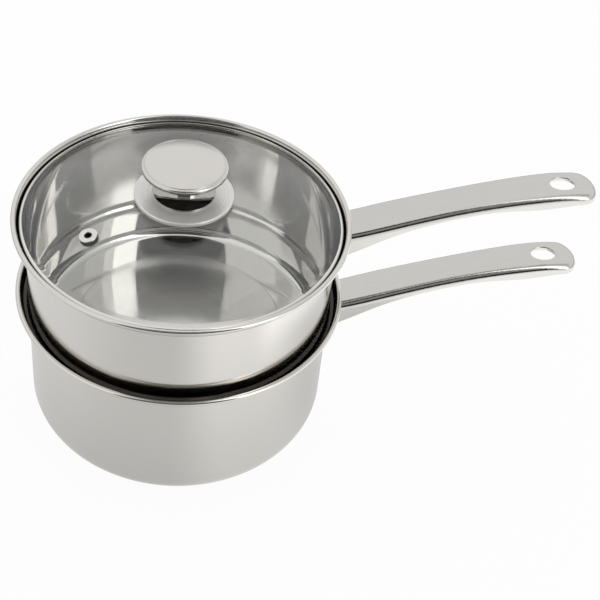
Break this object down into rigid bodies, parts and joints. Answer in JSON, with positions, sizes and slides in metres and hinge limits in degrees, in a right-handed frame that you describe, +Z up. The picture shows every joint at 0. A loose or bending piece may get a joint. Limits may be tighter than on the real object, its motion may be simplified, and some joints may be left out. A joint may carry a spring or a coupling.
{
  "type": "double boiler",
  "caption": "Stainless double boiler: saucepan, nesting upper pan and domed glass lid with steel knob, each pan with a long channel handle, for gentle steam heating.",
  "frame": {"origin": "centre of the underside of the saucepan's base, on the surface it stands on", "axes": "+Z up along the pans' axis, +X along both handles from the axis to the tips, +Y to the left of the handles"},
  "size_m": [0.3432, 0.1904, 0.1865],
  "materials": {
    "pan_steel": "polished stainless steel with a fine turned grain",
    "base_aluminium": "plain, closed in by the base cup",
    "base_steel": "fine turned rings",
    "handle_steel": "satin, warm light grey",
    "clip_steel": "plain pressed sheet",
    "lid_glass": "clear tempered glass",
    "band_steel": "bright polished",
    "vent_steel": "bright polished",
    "gasket_rubber": "translucent pale silicone",
    "skirt_steel": "satin",
    "stem_steel": "mirror polished",
    "cap_steel": "fine satin",
    "bush_aluminium": "plain, closed in by the stem",
    "screw_steel": "plain zinc-grey"
  },
  "bodies": {
    "saucepan": {"lower_pan": "pan_steel", "base_core": "base_aluminium", "base_cap": "base_steel", "lower_handle": "handle_steel", "lower_clip": "clip_steel"},
    "nesting_pan": {"insert_pan": "pan_steel", "upper_handle": "handle_steel", "upper_clip": "clip_steel"},
    "lid": {"lid_glass": "lid_glass", "lid_band": "band_steel", "vent_eyelet": "vent_steel", "vent_washer": "gasket_rubber", "knob_gasket": "gasket_rubber", "knob_skirt": "skirt_steel", "knob_stem": "stem_steel", "knob_cap": "cap_steel", "knob_bush": "bush_aluminium", "under_gasket": "gasket_rubber", "screw_washer": "screw_steel", "knob_screw": "screw_steel"}
  },
  "joints": [
    {"name": "insert_lift", "type": "slide", "parent": "saucepan", "child": "nesting_pan", "axis": [0, 0, 1], "range_m": [0, 0.12]},
    {"name": "lid_lift", "type": "slide", "parent": "nesting_pan", "child": "lid", "axis": [0, 0, 1], "range_m": [0, 0.08]}
  ]
}
